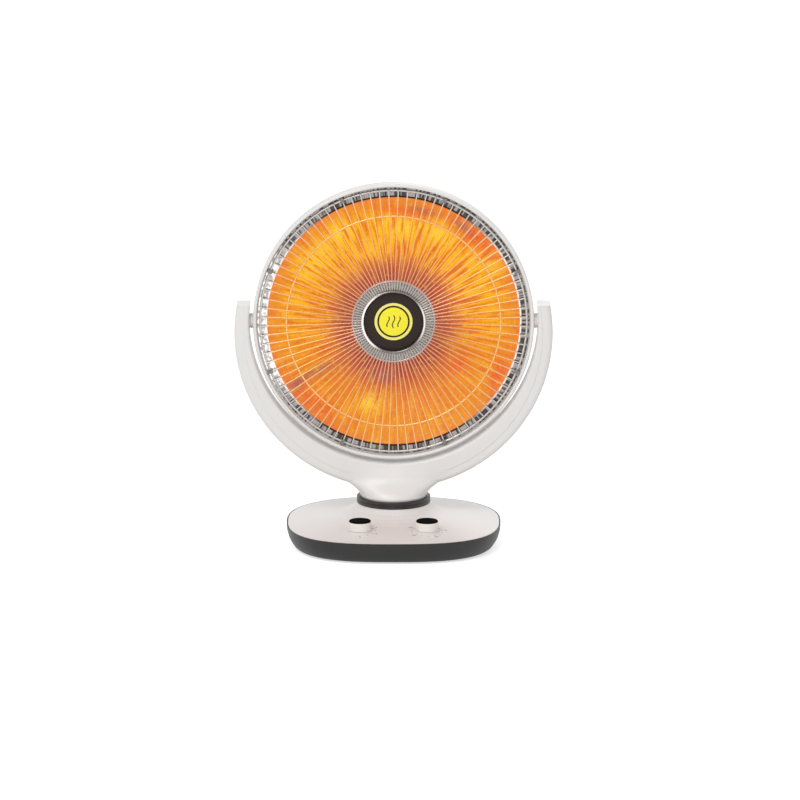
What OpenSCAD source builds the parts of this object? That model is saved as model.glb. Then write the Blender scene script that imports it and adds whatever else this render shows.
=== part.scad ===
// Parabolic heater: a dish heater that tilts in a yoke, on a weighted base that it swivels on.
// Millimetres, +Z up, +X to the right, +Y to the back.
// The origin is on the floor, under the middle of the base.

/* [Base] */
// Width of the pan at its rim
base_w = 243; // [232:1:256]
// Depth of the pan at its rim
base_d = 230; // [222:1:240]
// Squareness of the front half of the base outline, where 2 is an ellipse
base_square = 2.75; // [2.4:0.05:3.2]
// Squareness of the rounder back half
back_square = 2.4; // [2.1:0.05:2.8]
// Height of the pan's rim above the floor
rim_h = 25; // [24:0.5:28]
// How far the pan's bottom edge is drawn in from its rim
pan_tuck = 9; // [6:0.5:12]
// Wall of the pan
pan_wall = 2.6; // [2.2:0.1:3]
// Width of the pan's lip, which shows round the cover
lip_w = 1.6; // [1.2:0.1:2]
// Thickness of the rubber feet
foot_t = 2; // [1.5:0.5:3]
// Radius of a rubber foot
foot_r = 9; // [7:0.5:11]
// Wall of the cover
cover_wall = 2.4; // [2:0.1:2.8]
// Rise of the cover's gentle dome, from its edge towards the collar
cover_dome = 6; // [5:0.5:8]
// Rise of the flare that runs up to the collar
cover_flare = 13.5; // [12:0.1:16]
// Radius of a base screw's shank
base_screw_r = 1.8; // [1.5:0.1:2]
// Distance of the screw posts from the sides of the base
post_side = 30; // [28:1:34]
// Distance of the screw posts from the front and back of the base
post_end = 53; // [50:1:58]
// Distance of the feet from the sides of the base
foot_side = 46; // [44:1:50]
// Distance of the feet from the front and back of the base
foot_end = 46; // [44:1:50]
// Thickness of the iron weights
ballast_t = 8; // [6:0.5:9]

/* [Swivel] */
// Distance of the neck's axis behind the middle of the base
neck_back = 9; // [6:1:14]
// Radius of the black ring under the neck
ring_r = 41.8; // [40.5:0.1:44]
// Height of the black ring
ring_h = 7.5; // [7:0.1:9]
// Radius of the neck where it is narrowest
neck_r = 38.4; // [37:0.1:40]
// Radius of the swivel spindle
spindle_r = 9; // [8:0.25:10]
// Radius of the wiring bore through the spindle
spindle_bore_r = 6; // [5:0.25:6.5]
// Radius of the spindle's flange, which carries the yoke
flange_r = 30; // [28:0.5:32]
// Thickness of the swing gear and its pinion
gear_t = 5; // [4:0.5:6]
// Gear module
gear_module = 1.5; // [1.4:0.05:1.6]
// Teeth that the swing gear would have all the way round
gear_teeth = 40; // [36:2:44]
// Teeth of the motor's pinion
pinion_teeth = 12; // [11:1:14]
// Radius of the motor's body
motor_r = 23; // [20:0.5:24]
// Height of the motor's body
motor_h = 18; // [16:0.5:19]
// Travel of the tilt switch's plunger
plunger_travel = 4; // [3:0.5:5]

/* [Yoke] */
// Height of the neck, from its foot up to the crescent
neck_h = 33.8; // [31:0.1:37]
// Gap between the head and the inner curve of the yoke
yoke_gap = 4.2; // [3.8:0.1:5.5]
// How much larger the radius of the outer curve is than that of the inner one
yoke_w = 17; // [15.5:0.1:19]
// How far the centre of the outer curve lies below the pivot
yoke_drop = 13; // [11:0.5:15]
// Height of the arm tips above the pivot
arm_top = 20; // [17:0.5:24]
// Depth of the yoke from front to back
yoke_depth = 33; // [30:1:38]
// Rounding of the yoke's edges
yoke_round = 6; // [4:0.5:7]
// Depth of the step that runs beside the outer edge
yoke_step = 0.7; // [0.5:0.1:1]
// Wall of the yoke's shells
yoke_wall = 2.6; // [2.2:0.1:3]
// Spread of the neck's flare, in millimetres at its top
neck_spread = 52; // [48:1:56]
// Radius of a tilt pivot pin
pin_r = 4; // [3.5:0.25:4.5]

/* [Head] */
// Outer radius of the head
head_r = 158.8; // [157:0.1:159.4]
// Distance of the head's front lip from the pivot
lip_front = 12; // [11:0.5:14]
// Distance of the rim's back edge from the pivot
rim_back = 6; // [5:0.5:8]
// Width of the lip round the mouth
mouth_lip = 4; // [3.4:0.1:4.6]
// How far the bowl is drawn in behind the rim
bowl_step = 6.8; // [6:0.1:8]
// Distance of the housing's back from the pivot
head_back = 96; // [94:1:102]
// Wall of the housing
head_wall = 2.6; // [2.2:0.1:3]
// Radius of the flat back of the housing
back_r = 74; // [70:1:80]
// Number of cooling slots round the back of the housing
vent_count = 28; // [16:4:32]
// Radius of the pivot bosses at the sides of the housing
boss_r = 8.5; // [8:0.25:9.5]

/* [Reflector and element] */
// Width of the bright flange between the mouth and the dish's edge
flange_w = 12.1; // [11.5:0.1:13.5]
// Depth of the dish
dish_depth = 76; // [70:1:78]
// Thickness of the dish's sheet
dish_t = 1; // [0.8:0.1:1.2]
// Radius of the hole in the middle of the dish
dish_hole_r = 20; // [19:0.5:22]
// Radius of the ceramic core of the element
core_r = 15; // [13:0.5:16]
// Length of the ceramic core
core_l = 53; // [49:1:56]
// Turns of the heating coil
coil_turns = 11; // [8:1:12]
// Radius of the heating coil's wire
coil_wire_r = 1.4; // [1.2:0.1:1.5]

/* [Guard] */
// Number of radial wires
wire_count = 88; // [72:4:96]
// Radius of a radial wire
wire_r = 0.75; // [0.65:0.05:0.9]
// Radius of the wire in the rings
ring_wire_r = 1.25; // [1.1:0.05:1.5]
// Distance of the guard's outer ring from the mouth
ring_inset = 4.2; // [3.9:0.1:5]
// Radius of the guard's middle ring
mid_ring_r = 121; // [110:0.5:126]
// Radius of the hub's bright bezel
bezel_r = 36.4; // [35.5:0.1:38]
// Distance of the guard's inner ring from the bezel, across the grey band
hub_band = 9.9; // [9:0.1:11]
// Wall of the bezel
bezel_wall = 2.6; // [2:0.1:3]
// How far the hub cap lies behind the bezel's front edge
cap_recess = 5; // [3:0.5:6]
// Outer radius of the round badge
badge_r = 21.5; // [18:0.5:24]
// Number of clips that hold the guard
clip_count = 8; // [6:2:8]

/* [Controls] */
// Distance of each knob from the middle of the base
knob_x = 37.75; // [34:0.25:42]
// Distance of the knobs from the front edge of the base
knob_edge = 44; // [40:0.5:48]
// Radius of a knob
knob_r = 12.3; // [11:0.1:13.5]
// Height of a knob with its cap
knob_h = 11.4; // [10:0.2:14]
// Radius of a knob's shaft
shaft_r = 3; // [2.5:0.25:3.5]

/* [Clearances] */
// Radial clearance of what turns or slides in a bore
run_gap = 0.05; // [0.03:0.01:0.09]
// Gap between pieces that move past each other
move_gap = 0.3; // [0.25:0.05:0.5]
// Gap round pieces that fit together and stay
fit_gap = 0.1; // [0.05:0.05:0.15]
// Play between the teeth of the gears
backlash = 0.16; // [0.1:0.02:0.24]

/* [Hidden] */

$fn = 64;
white = [0.90, 0.895, 0.885];
warm_white = [0.865, 0.85, 0.84];
charcoal = [0.24, 0.235, 0.235];
black = [0.08, 0.075, 0.075];
hub_brown = [0.25, 0.20, 0.18];
chrome = [0.80, 0.80, 0.81];
steel = [0.62, 0.63, 0.65];
brass = [0.80, 0.66, 0.32];
porcelain = [0.93, 0.91, 0.86];
glow = [0.98, 0.55, 0.12];
yellow = [0.96, 0.92, 0.24];
acetal = [0.87, 0.86, 0.82];

ring_points = 64;

// How far a cut runs on past the face that it opens, and a joined piece into its neighbour.
over = 1;

// A superellipse ring at height z, centred on (0, y), whose two halves differ in squareness.
function squircle(a, b, front_n, back_n, y, z) = [
    for (i = [0 : ring_points - 1])
        let (t = 360 * i / ring_points, c = cos(t), s = sin(t), n = s < 0 ? front_n : back_n)
        [a * sign(c) * pow(abs(c), 2 / n), y + b * sign(s) * pow(abs(s), 2 / n), z]
];

function blend(a, b, t) = a + (b - a) * t;
function arc(cx, cy, r, from, to, steps) = [
    for (i = [0 : steps])
        let (t = blend(from, to, i / steps))
        [cx + r * cos(t), cy + r * sin(t)]
];

// A closed skin through rings of equal point counts, capped flat at both ends.
module loft(rings) {
    n = len(rings[0]);
    last = len(rings) - 1;
    points = [for (ring = rings) for (p = ring) p];
    sides = [
        for (i = [0 : last - 1])
            for (j = [0 : n - 1])
                let (k = (j + 1) % n, a = i * n, b = a + n)
                for (face = [[a + j, b + j, b + k], [a + j, b + k, a + k]]) face
    ];
    first_cap = [for (j = [0 : n - 1]) j];
    last_cap = [for (j = [n - 1 : -1 : 0]) last * n + j];
    polyhedron(points = points, faces = concat([first_cap], sides, [last_cap]));
}

// A tube or ring about Z.
module ring(outer, inner, z0, z1) {
    difference() {
        translate([0, 0, z0]) cylinder(r = outer, h = z1 - z0);
        translate([0, 0, z0 - 1]) cylinder(r = inner, h = z1 - z0 + 2);
    }
}

module disc(r, z0, z1) {
    translate([0, 0, z0]) cylinder(r = r, h = z1 - z0);
}

// A slot with round ends, along X from x0 to x1.
module slot(x0, x1, width, z0, z1) {
    translate([0, 0, z0]) linear_extrude(z1 - z0) {
        translate([x0 + width / 2, -width / 2]) square([x1 - x0 - width, width]);
        translate([x0 + width / 2, 0]) circle(r = width / 2);
        translate([x1 - width / 2, 0]) circle(r = width / 2);
    }
}

// A pan-head screw standing up from z0, with its head below.
module screw(r, head_r, head_t, z0, length) {
    disc(head_r, z0, z0 + head_t);
    disc(r, z0, z0 + head_t + length);
}

// ---- Base: heights and places ----
pan_a = base_w / 2;
pan_b = base_d / 2;
pan_z = foot_t;
floor_z = pan_z + pan_wall;
edge_round = 2.2;
seat_drop = 3.4;
seat_z = rim_h - seat_drop;
cover_inset = lip_w + fit_gap;
ledge_inset = cover_inset + cover_wall + 0.6;
cover_proud = 0.3;
cover_edge_z = rim_h + cover_proud;
collar_r = ring_r - 0.6;
collar_z = cover_edge_z + cover_dome + cover_flare;
flare_power = 7;
cover_steps = [0, 0.03, 0.1, 0.2, 0.32, 0.45, 0.58, 0.69, 0.78, 0.86, 0.93, 1];
pan_steps = [0.06, 0.16, 0.3, 0.5, 0.75, 1];

function pan_ring(inset, z) = squircle(
    pan_a - inset, pan_b - inset, base_square, back_square, 0, z
);
function pan_inset(u) = pan_tuck * pow(1 - u, 2.2);
function pan_height(u) = blend(pan_z, rim_h, u);

function cover_a(t, wall) = blend(pan_a - cover_inset, collar_r, t) - wall;
function cover_b(t, wall) = blend(pan_b - cover_inset, collar_r, t) - wall;
function cover_n(t, y) = blend(y < neck_back * t ? base_square : back_square, 2, t);
function cover_ring(t, wall, z) = squircle(
    cover_a(t, wall), cover_b(t, wall), cover_n(t, -pan_b), cover_n(t, pan_b), neck_back * t, z
);
function cover_rise(t) = cover_edge_z + cover_dome * (1 - pow(1 - t, 2))
    + cover_flare * pow(t, flare_power);

// Which of the cover's rings runs through (x, y), and the heights of the cover's two faces there.
function beyond_ring(t, x, y, wall) =
    pow(abs(x) / cover_a(t, wall), cover_n(t, y))
    + pow(abs(y - neck_back * t) / cover_b(t, wall), cover_n(t, y)) > 1;
function cover_t(x, y, wall, low = 0, high = 1, left = 14) =
    let (mid = (low + high) / 2)
    left == 0 ? mid
    : beyond_ring(mid, x, y, wall) ? cover_t(x, y, wall, low, mid, left - 1)
    : cover_t(x, y, wall, mid, high, left - 1);
function cover_z(x, y) = cover_rise(cover_t(x, y, 0));
function cover_under(x, y) = cover_rise(cover_t(x, y, cover_wall)) - cover_wall;

// The four posts that the base is screwed together at.
post_wall = 3.2;
post_x = pan_a - post_side;
post_y = pan_b - post_end;
post_r = base_screw_r + post_wall;
post_split_z = rim_h / 2;
screw_head_r = base_screw_r * 1.9;
screw_recess = 4.5;
screw_head_t = 2.2;
screw_bite = 8;

foot_x = pan_a - foot_side;
foot_y = pan_b - foot_end;

// The knobs stand on level pads, and what they turn hangs under the pads by its bushing.
knob_y = knob_edge - pan_b;
switch_box = [30, 26, 15];
timer_r = 17;
timer_h = 16;
pad_margin = 1.5;
pad_proud = 0.15;
pad_r = knob_r + pad_margin;
pad_z = cover_z(knob_x, knob_y + pad_r) + pad_proud;
pad_under = min(
    cover_under(knob_x, knob_y - timer_r),
    cover_under(knob_x + switch_box[0] / 2, knob_y - switch_box[1] / 2)
) - fit_gap;
bushing_wall = 2;
bushing_proud = 1;
bushing_r = shaft_r + bushing_wall;
bushing_z = pad_z + bushing_proud;
shaft_depth = 9;
shaft_cover = 3.4;
shaft_bottom = pad_under - shaft_depth;
shaft_top = pad_z + knob_h - shaft_cover;
flat_depth = 0.5;
flat_start = 1.5;
flat_z = bushing_z + flat_start;

pinion_lift = 1.4;
gear_z = floor_z + motor_h + pinion_lift;
pitch_r = gear_module * gear_teeth / 2;
pinion_pitch_r = gear_module * pinion_teeth / 2;
motor_y = neck_back + pitch_r + pinion_pitch_r;
motor_ear_reach = 5;
motor_ear_drop = 4;
motor_ear_t = 1.6;
motor_post = motor_r + motor_ear_reach;
motor_post_r = 3.6;
motor_screw_r = 1.4;
motor_screw_l = 8;
motor_ear_z = floor_z + motor_h - motor_ear_drop;
motor_shaft_r = 2.5;

bush_wall = 3.2;
bush_flange_inset = 8;
bush_l = 10;
bush_body_r = spindle_r + bush_wall;
bush_flange_r = flange_r - bush_flange_inset;
bush_flange_t = 3;
bush_bottom = collar_z - bush_l;
thrust_t = 0.8;
thrust_z = collar_z + bush_flange_t;
flange_z = thrust_z + thrust_t + run_gap;
neck_z = collar_z + ring_h + move_gap;
spindle_foot = 4;
spindle_post_wall = 4.6;
spindle_bottom = floor_z + spindle_foot;
spindle_post_r = spindle_r + spindle_post_wall;
spindle_post_top = gear_z - move_gap;

plunger_r = 3.2;
plunger_foot_r = 4.2;
plunger_at = [-56, pan_b - 45];
plunger_reach = 12;
plunger_top = floor_z + plunger_reach;
tip_box = [24, 18, 16];

grommet_r = 4.2;
grommet_lip = 0.8;
grommet_hole_r = 2.9;
grommet_z = blend(floor_z, seat_z, 0.35);
terminal_at = [54, pan_b - 43];
terminal_box = [34, 16, 12];
terminal_hole_r = 2.2;
ballast_w = 40;
ballast_gap = 5;
ballast_size = [ballast_w, 2 * (post_y - post_r - ballast_gap), ballast_t];
ballast_round = 8;
ballast_in = 13;
ballast_x = post_x - ballast_in;

module at_posts() {
    for (sx = [-1, 1], sy = [-1, 1]) translate([sx * post_x, sy * post_y, 0]) children();
}

module at_motor() { translate([0, motor_y, 0]) children(); }
module at_neck() { translate([0, neck_back, 0]) children(); }
module at_power_knob() { translate([-knob_x, knob_y, 0]) children(); }
module at_timer_knob() { translate([knob_x, knob_y, 0]) children(); }

// A block with rounded upright corners, centred on the origin.
module rounded_block(size, r, z0) {
    translate([0, 0, z0]) linear_extrude(size[2]) {
        square([size[0] - 2 * r, size[1]], center = true);
        square([size[0], size[1] - 2 * r], center = true);
        for (sx = [-1, 1], sy = [-1, 1])
            translate([sx * (size[0] / 2 - r), sy * (size[1] / 2 - r)]) circle(r = r);
    }
}

// The place and lean of the pan's back wall where the cord would come in.
grommet_u = (grommet_z - pan_z) / (rim_h - pan_z);
lean_step = 0.01;
wall_lean = atan(
    (pan_inset(grommet_u - lean_step) - pan_inset(grommet_u + lean_step))
    / (2 * lean_step * (rim_h - pan_z))
);
module at_grommet() {
    translate([0, pan_b - pan_inset(grommet_u), grommet_z]) rotate([-90 - wall_lean, 0, 0]) children();
}

module base_pan() {
    inner_steps = [0.5, 0.3, 0.16];
    skin = concat(
        [pan_ring(pan_inset(pan_steps[0]) + edge_round, pan_z)],
        [for (u = pan_steps) pan_ring(pan_inset(u), pan_height(u))],
        [pan_ring(lip_w, rim_h), pan_ring(lip_w, seat_z), pan_ring(ledge_inset, seat_z)],
        [for (u = inner_steps)
            pan_ring(max(pan_inset(u) + pan_wall, ledge_inset), pan_height(u))],
        [pan_ring(pan_inset(pan_steps[0]) + pan_wall + edge_round, floor_z)]
    );
    color(charcoal) difference() {
        union() {
            loft(skin);
            at_posts() disc(post_r, pan_z + 1, post_split_z);
            at_neck() disc(spindle_post_r, pan_z + 1, spindle_post_top);
            for (s = [-1, 1])
                at_motor() translate([s * motor_post, 0, 0])
                    disc(motor_post_r, pan_z + 1, motor_ear_z);
        }
        at_posts() disc(base_screw_r + fit_gap, pan_z - 1, post_split_z + 1);
        at_posts() disc(screw_head_r + fit_gap, pan_z - 1, pan_z + screw_recess);
        at_neck() disc(spindle_r + run_gap, spindle_bottom - 1, spindle_post_top + 1);
        for (s = [-1, 1])
            at_motor() translate([s * motor_post, 0, 0])
                disc(motor_screw_r + fit_gap / 2, motor_ear_z - motor_screw_l - 1, motor_ear_z + 1);
        translate([plunger_at[0], plunger_at[1], 0])
            disc(plunger_foot_r + move_gap, pan_z - 1, floor_z + 1);
        at_grommet() disc(grommet_r + fit_gap, -pan_wall * 4, 8);
    }
}

module base_cover() {
    skin = concat(
        [for (i = [len(cover_steps) - 1 : -1 : 0])
            let (t = cover_steps[i]) cover_ring(t, cover_wall, cover_rise(t) - cover_wall)],
        [cover_ring(0, cover_wall, seat_z), cover_ring(0, 0, seat_z)],
        [for (t = cover_steps) cover_ring(t, 0, cover_rise(t))]
    );
    post_top = cover_z(post_x, post_y) - cover_wall * 0.5;
    color(warm_white) difference() {
        union() {
            loft(skin);
            at_posts() disc(post_r - move_gap, post_split_z, post_top);
            at_power_knob() disc(pad_r, pad_under, pad_z);
            at_timer_knob() disc(pad_r, pad_under, pad_z);
        }
        at_posts()
            disc(base_screw_r + fit_gap / 2, post_split_z - 1, post_split_z + screw_bite + 1);
        at_power_knob() disc(bushing_r + fit_gap, pad_under - 1, pad_z + 1);
        at_timer_knob() disc(bushing_r + fit_gap, pad_under - 1, pad_z + 1);
        at_neck() disc(bush_body_r + fit_gap, collar_z - cover_wall - 2, collar_z + 1);
    }
}

module rubber_feet() {
    color(black)
        for (sx = [-1, 1], sy = [-1, 1])
            translate([sx * foot_x, sy * foot_y, 0]) {
                disc(foot_r, foot_t / 4, foot_t);
                cylinder(r1 = foot_r - foot_t / 4, r2 = foot_r, h = foot_t / 4);
            }
}

module base_screws() {
    color(steel) at_posts()
        screw(
            base_screw_r, screw_head_r, screw_head_t,
            pan_z + screw_recess - screw_head_t,
            post_split_z + screw_bite - pan_z - screw_recess
        );
}

module ballast_weights() {
    color(steel)
        for (s = [-1, 1])
            translate([s * ballast_x, 0, 0]) rounded_block(ballast_size, ballast_round, floor_z);
}

module cord_grommet() {
    lip_stand = 0.25;
    lip_t = 0.9;
    color(black) at_grommet() difference() {
        union() {
            disc(grommet_r, -pan_wall - 3, lip_stand + lip_t);
            disc(grommet_r + grommet_lip, lip_stand, lip_stand + lip_t);
        }
        disc(grommet_hole_r, -pan_wall - 5, lip_stand + 3);
    }
}

module terminal_block() {
    pole = 8;
    color(white) translate([terminal_at[0], terminal_at[1], 0]) difference() {
        rounded_block(terminal_box, 1.5, floor_z);
        for (i = [-1.5 : 1 : 1.5])
            translate([i * pole, 0, 0])
                disc(terminal_hole_r, floor_z + terminal_box[2] - 5, floor_z + terminal_box[2] + 1);
    }
}

module oscillation_motor() {
    rim_drop = 1.5;
    color(steel) at_motor() difference() {
        union() {
            disc(motor_r, floor_z, floor_z + motor_h - rim_drop);
            disc(motor_r - 1.5, floor_z, floor_z + motor_h);
            translate([0, 0, motor_ear_z]) linear_extrude(motor_ear_t) {
                square([2 * motor_post, 2 * motor_post_r], center = true);
                for (s = [-1, 1]) translate([s * motor_post, 0]) circle(r = motor_post_r);
            }
        }
        for (s = [-1, 1])
            translate([s * motor_post, 0, 0])
                disc(motor_screw_r + fit_gap, motor_ear_z - 1, motor_ear_z + motor_ear_t + 1);
        disc(motor_shaft_r + run_gap, floor_z + motor_h - 8, floor_z + motor_h + 1);
    }
}

module motor_screws() {
    head_t = 1.6;
    color(steel) at_motor()
        for (s = [-1, 1])
            translate([s * motor_post, 0, motor_ear_z + motor_ear_t + head_t]) rotate([180, 0, 0])
                screw(motor_screw_r, 2 * motor_screw_r, head_t, 0, motor_screw_l);
}

// The tilt switch stands on the pan's floor over the hole that its plunger comes through.
module tip_switch() {
    color([0.75, 0.2, 0.15]) translate([plunger_at[0], plunger_at[1], 0]) difference() {
        rounded_block(tip_box, 1.5, floor_z);
        disc(plunger_r + run_gap, floor_z - 1, floor_z + tip_box[2] - 2);
        disc(plunger_foot_r + move_gap, floor_z - 1, floor_z + 2);
    }
}

module tip_plunger() {
    color(black) translate([plunger_at[0], plunger_at[1], 0]) {
        disc(plunger_r, foot_t, plunger_top - plunger_travel);
        disc(plunger_foot_r, 0, floor_z);
    }
}

// The body of a rotary control, hung under the cover by its bushing.
module control_bushing() {
    disc(bushing_r, pad_under - 1, bushing_z);
}

module shaft_bore() {
    disc(shaft_r + run_gap, shaft_bottom - 0.5, bushing_z + 1);
}

module power_switch() {
    blade = [1, 5, 4];
    blade_pitch = 8;
    underside = pad_under - switch_box[2];
    color(black) at_power_knob() difference() {
        union() {
            rounded_block(switch_box, 2, underside);
            control_bushing();
            for (i = [-1 : 1])
                translate([i * blade_pitch, 0, 0]) rounded_block(blade, 0.3, underside - blade[2]);
        }
        shaft_bore();
    }
}

module timer_unit() {
    step = 0.8;
    color(steel) at_timer_knob() difference() {
        union() {
            disc(timer_r, pad_under - timer_h, pad_under - step);
            disc(timer_r - step, pad_under - timer_h - step, pad_under);
            control_bushing();
        }
        shaft_bore();
    }
}

module control_shaft() {
    color(steel) difference() {
        disc(shaft_r, shaft_bottom, shaft_top);
        translate([shaft_r - flat_depth, -shaft_r, flat_z])
            cube([shaft_r, 2 * shaft_r, shaft_top - flat_z + 1]);
    }
}

// A hollow knob: skirt, top and the hub that grips the flat on its shaft.
cap_t = 1.6;
knob_wall = 1.8;
knob_z0 = pad_z + move_gap;
knob_z1 = pad_z + knob_h - cap_t;
knob_hub_z = flat_z + 0.3;
module knob_body() {
    color(warm_white) difference() {
        disc(knob_r, knob_z0, knob_z1);
        difference() {
            disc(knob_r - knob_wall, knob_z0 - 1, knob_z1 - knob_wall);
            disc(shaft_r + 2.4, knob_hub_z, knob_z1);
        }
        difference() {
            disc(shaft_r + fit_gap / 2, knob_z0, shaft_top + fit_gap);
            translate([shaft_r - flat_depth + fit_gap / 2, -knob_r, knob_z0 - 1])
                cube([knob_r, 2 * knob_r, knob_h]);
        }
    }
}

module knob_cap() {
    color(black) difference() {
        union() {
            disc(knob_r, knob_z1, knob_z1 + cap_t * 0.6);
            translate([0, 0, knob_z1 + cap_t * 0.6])
                cylinder(r1 = knob_r, r2 = knob_r - cap_t * 0.4, h = cap_t * 0.4);
        }
        slot(knob_r * 0.35, knob_r * 0.86, 1.1, knob_z1 + cap_t - 0.35, knob_z1 + cap_t + 1);
    }
}

module power_shaft() { at_power_knob() rotate([0, 0, 90]) control_shaft(); }
module power_knob() { at_power_knob() rotate([0, 0, 90]) knob_body(); }
module power_knob_cap() { at_power_knob() rotate([0, 0, 90]) knob_cap(); }
module timer_shaft() { at_timer_knob() rotate([0, 0, 90]) control_shaft(); }
module timer_knob() { at_timer_knob() rotate([0, 0, 90]) knob_body(); }
module timer_knob_cap() { at_timer_knob() rotate([0, 0, 90]) knob_cap(); }

// ---- Swivel ----
module swivel_bush() {
    color(acetal) at_neck() {
        ring(bush_body_r, spindle_r + run_gap, bush_bottom, collar_z);
        ring(bush_flange_r, spindle_r + run_gap, collar_z, thrust_z);
    }
}

module thrust_washer() {
    color(steel) at_neck() ring(bush_flange_r - 1, spindle_r + fit_gap, thrust_z, thrust_z + thrust_t);
}

// The black ring that the neck turns over, with a fine groove round its middle.
flange_room = 3;
module neck_ring() {
    groove = 0.5;
    groove_z = collar_z + ring_h * 0.55;
    inner = flange_r + flange_room;
    color(black) at_neck() rotate_extrude() polygon([
        [inner, collar_z],
        [ring_r - groove, collar_z],
        [ring_r, collar_z + groove],
        [ring_r, groove_z - groove],
        [ring_r - groove, groove_z],
        [ring_r, groove_z + groove],
        [ring_r, collar_z + ring_h - groove],
        [ring_r - groove, collar_z + ring_h],
        [inner, collar_z + ring_h]
    ]);
}

spindle_screw_r = 1.8;
spindle_screw_l = 7;
spindle_screw_in = 6;
spindle_screw_at = flange_r - spindle_screw_in;
spindle_screw_count = 4;
module at_spindle_screws() {
    for (i = [0 : spindle_screw_count - 1])
        rotate([0, 0, 45 + 360 * i / spindle_screw_count]) translate([spindle_screw_at, 0, 0])
            children();
}

spindle_head_r = spindle_screw_r * 1.9;
spindle_head_t = 1.9;
spindle_head_z = flange_z + 0.2;
spindle_screw_top = spindle_head_z + spindle_head_t + spindle_screw_l;
module swivel_spindle() {
    color(steel) at_neck() difference() {
        union() {
            disc(spindle_r, spindle_bottom, flange_z + 1);
            disc(flange_r, flange_z, neck_z);
        }
        disc(spindle_bore_r, spindle_bottom - 1, neck_z + 1);
        at_spindle_screws() {
            disc(spindle_screw_r + fit_gap, flange_z - 1, neck_z + 1);
            disc(spindle_head_r + fit_gap, flange_z - 1, spindle_head_z + spindle_head_t);
        }
    }
}

module spindle_screws() {
    color(steel) at_neck() at_spindle_screws()
        screw(spindle_screw_r, spindle_head_r, spindle_head_t, spindle_head_z, spindle_screw_l);
}

// Involute teeth. The half angle of a tooth shrinks from its pitch value towards the tip.
pressure_angle = 25;
function involute(a) = tan(a) * 180 / PI - a;
function tooth_half(teeth, r) =
    let (pitch = gear_module * teeth / 2, base = pitch * cos(pressure_angle))
    90 / teeth - backlash / 4 / pitch * 180 / PI
        + involute(pressure_angle) - involute(acos(min(1, base / r)));
function tooth(teeth, at) =
    let (
        pitch = gear_module * teeth / 2,
        base = pitch * cos(pressure_angle),
        tip = pitch + gear_module * 0.95,
        root = pitch - gear_module * 1.25,
        start = max(base, root),
        radii = [for (i = [0 : 5]) blend(start, tip, i / 5)]
    )
    concat(
        [[root, at - tooth_half(teeth, start)]],
        [for (r = radii) [r, at - tooth_half(teeth, r)]],
        [for (i = [5 : -1 : 0]) [radii[i], at + tooth_half(teeth, radii[i])]],
        [[root, at + tooth_half(teeth, start)]]
    );
function from_polar(points) = [for (p = points) [p[0] * cos(p[1]), p[0] * sin(p[1])]];

sector_side = 6;
gear_hub_wall = 5;
gear_hub_r = spindle_r + gear_hub_wall;
gear_hole_r = 3;
gear_hole_at = (gear_hub_r + pitch_r - gear_module * 1.4) / 2;
gear_hole_angle = 24;
module swing_gear() {
    step = 360 / gear_teeth;
    edge = (sector_side + 0.5) * step;
    rim = concat(
        [for (i = [-sector_side : sector_side]) for (p = tooth(gear_teeth, 90 + i * step)) p],
        [for (i = [4 : -1 : -4]) [spindle_r + 2, 90 + edge * i / 4]]
    );
    color(acetal) at_neck() difference() {
        translate([0, 0, gear_z]) linear_extrude(gear_t) {
            polygon(from_polar(rim));
            circle(r = gear_hub_r);
        }
        disc(spindle_r + fit_gap / 2, gear_z - 1, gear_z + gear_t + 1);
        for (s = [-1, 1])
            rotate([0, 0, 90 + s * gear_hole_angle]) translate([gear_hole_at, 0, 0])
                disc(gear_hole_r, gear_z - 1, gear_z + gear_t + 1);
    }
}

module gear_collar() {
    set_screw_r = 1.25;
    top = bush_bottom - move_gap;
    color(steel) at_neck() difference() {
        ring(gear_hub_r, spindle_r + fit_gap / 2, gear_z + gear_t, top);
        translate([0, 0, (gear_z + gear_t + top) / 2]) rotate([90, 0, 0])
            cylinder(r = set_screw_r, h = gear_hub_r + 1);
    }
}

module drive_pinion() {
    step = 360 / pinion_teeth;
    shape = [
        for (i = [0 : pinion_teeth - 1])
            for (p = tooth(pinion_teeth, (i + 0.5) * step - 90)) p
    ];
    shaft_sunk = 7;
    collar_wall = 2;
    color(acetal) at_motor() {
        translate([0, 0, gear_z]) linear_extrude(gear_t) polygon(from_polar(shape));
        disc(motor_shaft_r, floor_z + motor_h - shaft_sunk, gear_z + 0.5);
        disc(motor_shaft_r + collar_wall, floor_z + motor_h + move_gap, gear_z + 0.5);
    }
}

// ---- Yoke ----
// The yoke is sized round the head, and the neck is as wide at its top as the outer curve there.
yoke_in_r = head_r + yoke_gap;
yoke_out_r = yoke_in_r + yoke_w;
neck_top = neck_z + neck_h;
neck_drop = sqrt(pow(yoke_out_r, 2) - pow(neck_r + neck_spread, 2));
pivot_h = neck_top + neck_drop + yoke_drop;
echo(tilt_pivot_height = pivot_h, overall_width = 2 * yoke_out_r);

// On the head's axis: local Z runs to the back from the pivot, and local -Y is up.
module on_head_axis() {
    translate([0, neck_back, pivot_h]) rotate([-90, 0, 0]) children();
}

half_depth = yoke_depth / 2;
bore_pad = 0.6;
pad_back = 1;
pad_face = yoke_in_r - bore_pad;
pin_seat = yoke_in_r + yoke_wall + pad_back;
pin_head_r = pin_r + 3;
pin_head_t = 3;
washer_t = 0.9;
boss_face = pad_face - washer_t - fit_gap;
pin_tip = head_r - head_wall;
pin_end_gap = 0.3;
step_w = 6;

// The rim of a round body about Z whose edges are rounded, with the step beside its front edge.
module yoke_disc(r, half, rounding, step) {
    rotate_extrude($fn = 160) polygon(concat(
        [[0, -half], [r - rounding - step_w, -half], [r - rounding - step_w + 0.4, -half + step]],
        arc(r - rounding, -half + step + rounding, rounding, -90, 0, 6),
        arc(r - rounding, half - rounding, rounding, 0, 90, 6),
        [[0, half]]
    ));
}

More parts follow.
